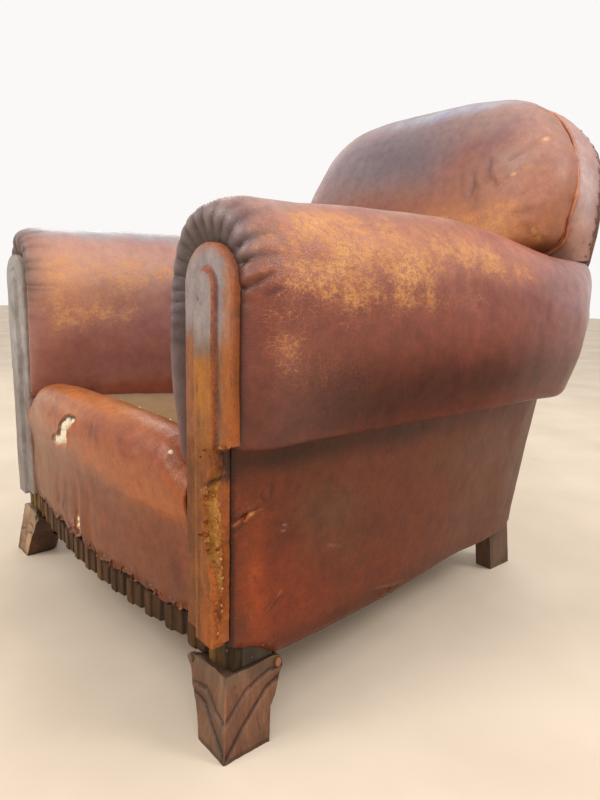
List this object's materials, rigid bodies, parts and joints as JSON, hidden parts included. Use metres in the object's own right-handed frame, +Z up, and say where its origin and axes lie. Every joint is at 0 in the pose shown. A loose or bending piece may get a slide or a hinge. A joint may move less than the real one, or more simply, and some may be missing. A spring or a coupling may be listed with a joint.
{
  "type": "club armchair",
  "caption": "Low leather club armchair with rolled arms, rounded padded back, reeded front rail and carved front feet, shown worn and without its loose seat cushion.",
  "frame": {"origin": "centre of the bounding box in plan, on the floor under the feet", "axes": "+Z up; the chair faces -Y, so +Y runs from front to back and is the longest extent; +X is the sitter's left and the shortest extent"},
  "size_m": [0.8116, 0.9288, 0.906],
  "materials": {
    "hide": "red-brown hide, cracked and rubbed to orange where it is handled, semi-gloss",
    "hide_dark": "plain dark hide, satin",
    "facing_cloth": "leathercloth over board, greyed above and worn to ochre and brown below, satin",
    "platform_cloth": "coarse olive platform cloth, matt and soiled",
    "beech": "unfinished frame hardwood",
    "dark_oak": "dark stained, worn satin",
    "foot_oak": "stained and waxed, scuffed satin",
    "jute_webbing": "woven jute, matt",
    "spring_steel": "darkened spring wire"
  },
  "bodies": {
    "root": {"front_foot_left": "foot_oak", "front_foot_right": "foot_oak", "back_post_left": "beech", "back_post_right": "beech", "side_seat_rail_left": "beech", "side_seat_rail_right": "beech", "front_seat_rail": "beech", "rear_seat_rail": "beech", "front_post_left": "beech", "front_post_right": "beech", "corner_block_front_left": "beech", "corner_block_front_right": "beech", "reeded_front_rail": "dark_oak", "rail_return_left": "dark_oak", "rail_return_right": "dark_oak", "facing_board_left": "facing_cloth", "facing_board_right": "facing_cloth", "facing_strip_left": "facing_cloth", "facing_strip_right": "facing_cloth", "arm_top_rail_left": "beech", "arm_top_rail_right": "beech", "arm_roll_rail_left": "beech", "arm_roll_rail_right": "beech", "outside_arm_left": "hide", "outside_arm_right": "hide", "back_top_rail": "beech", "back_lower_rail": "beech", "outside_back": "hide_dark", "back_border": "hide", "back_piping": "hide", "back_pad": "hide", "seat_front_roll": "hide", "seat_front_apron": "hide", "seat_deck": "platform_cloth", "seat_spring_1": "spring_steel", "seat_spring_2": "spring_steel", "seat_spring_3": "spring_steel", "seat_spring_4": "spring_steel", "seat_spring_5": "spring_steel", "seat_spring_6": "spring_steel", "seat_spring_7": "spring_steel", "seat_spring_8": "spring_steel", "seat_spring_9": "spring_steel", "seat_web_long_1": "jute_webbing", "seat_web_long_2": "jute_webbing", "seat_web_long_3": "jute_webbing", "seat_web_cross_1": "jute_webbing", "seat_web_cross_2": "jute_webbing", "seat_web_cross_3": "jute_webbing", "back_web_upright_1": "jute_webbing", "back_web_upright_2": "jute_webbing", "back_web_cross_1": "jute_webbing", "back_web_cross_2": "jute_webbing", "back_web_cross_3": "jute_webbing", "arm_wall_pad_left": "hide", "arm_wall_pad_right": "hide", "arm_crown_pad_left": "hide", "arm_crown_pad_right": "hide", "arm_roll_pad_left": "hide", "arm_roll_pad_right": "hide"}
  },
  "joints": []
}
